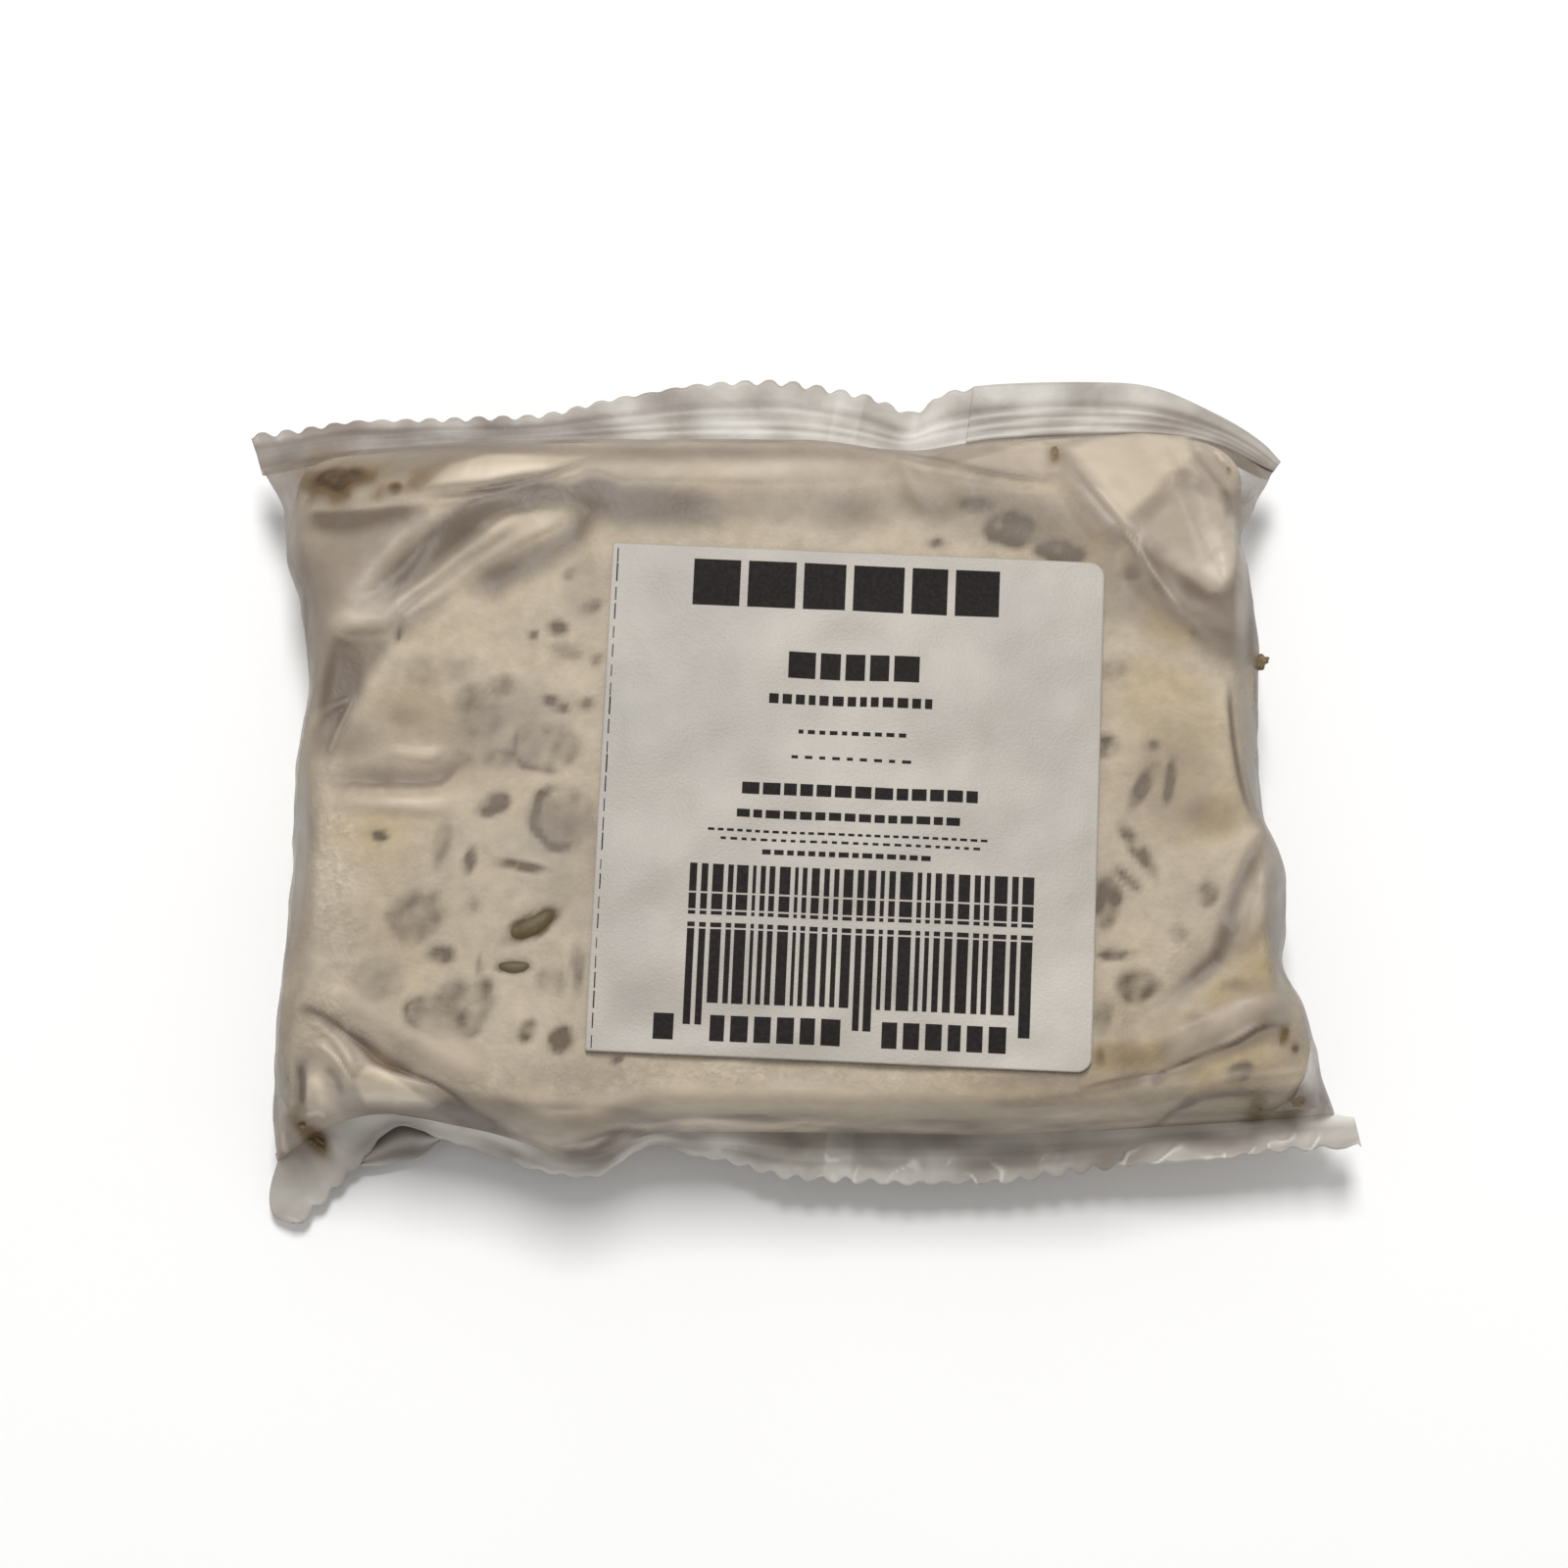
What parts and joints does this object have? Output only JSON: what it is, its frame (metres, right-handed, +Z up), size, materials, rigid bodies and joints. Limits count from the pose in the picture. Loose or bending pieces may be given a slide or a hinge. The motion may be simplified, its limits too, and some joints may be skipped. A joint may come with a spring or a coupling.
{
  "type": "packed tempeh cake",
  "caption": "Block of tempeh shut in a milky film flow-wrap bag with crimped, scalloped end seals and a square paper label on top.",
  "frame": {"origin": "middle of the pack's bounding box, on the surface it lies on", "axes": "+X along the cake's long side, +Y towards the rear seal, +Z up through the label"},
  "size_m": [0.114, 0.0866, 0.0242],
  "materials": {
    "film": "milky, satin, translucent",
    "label": "semi-matt sticker paper",
    "tempeh": "matt, felted, with embedded beans",
    "bean": "satin",
    "print": "matt ink"
  },
  "bodies": {
    "root": {"bag": "film", "label": "label"}
  },
  "joints": []
}
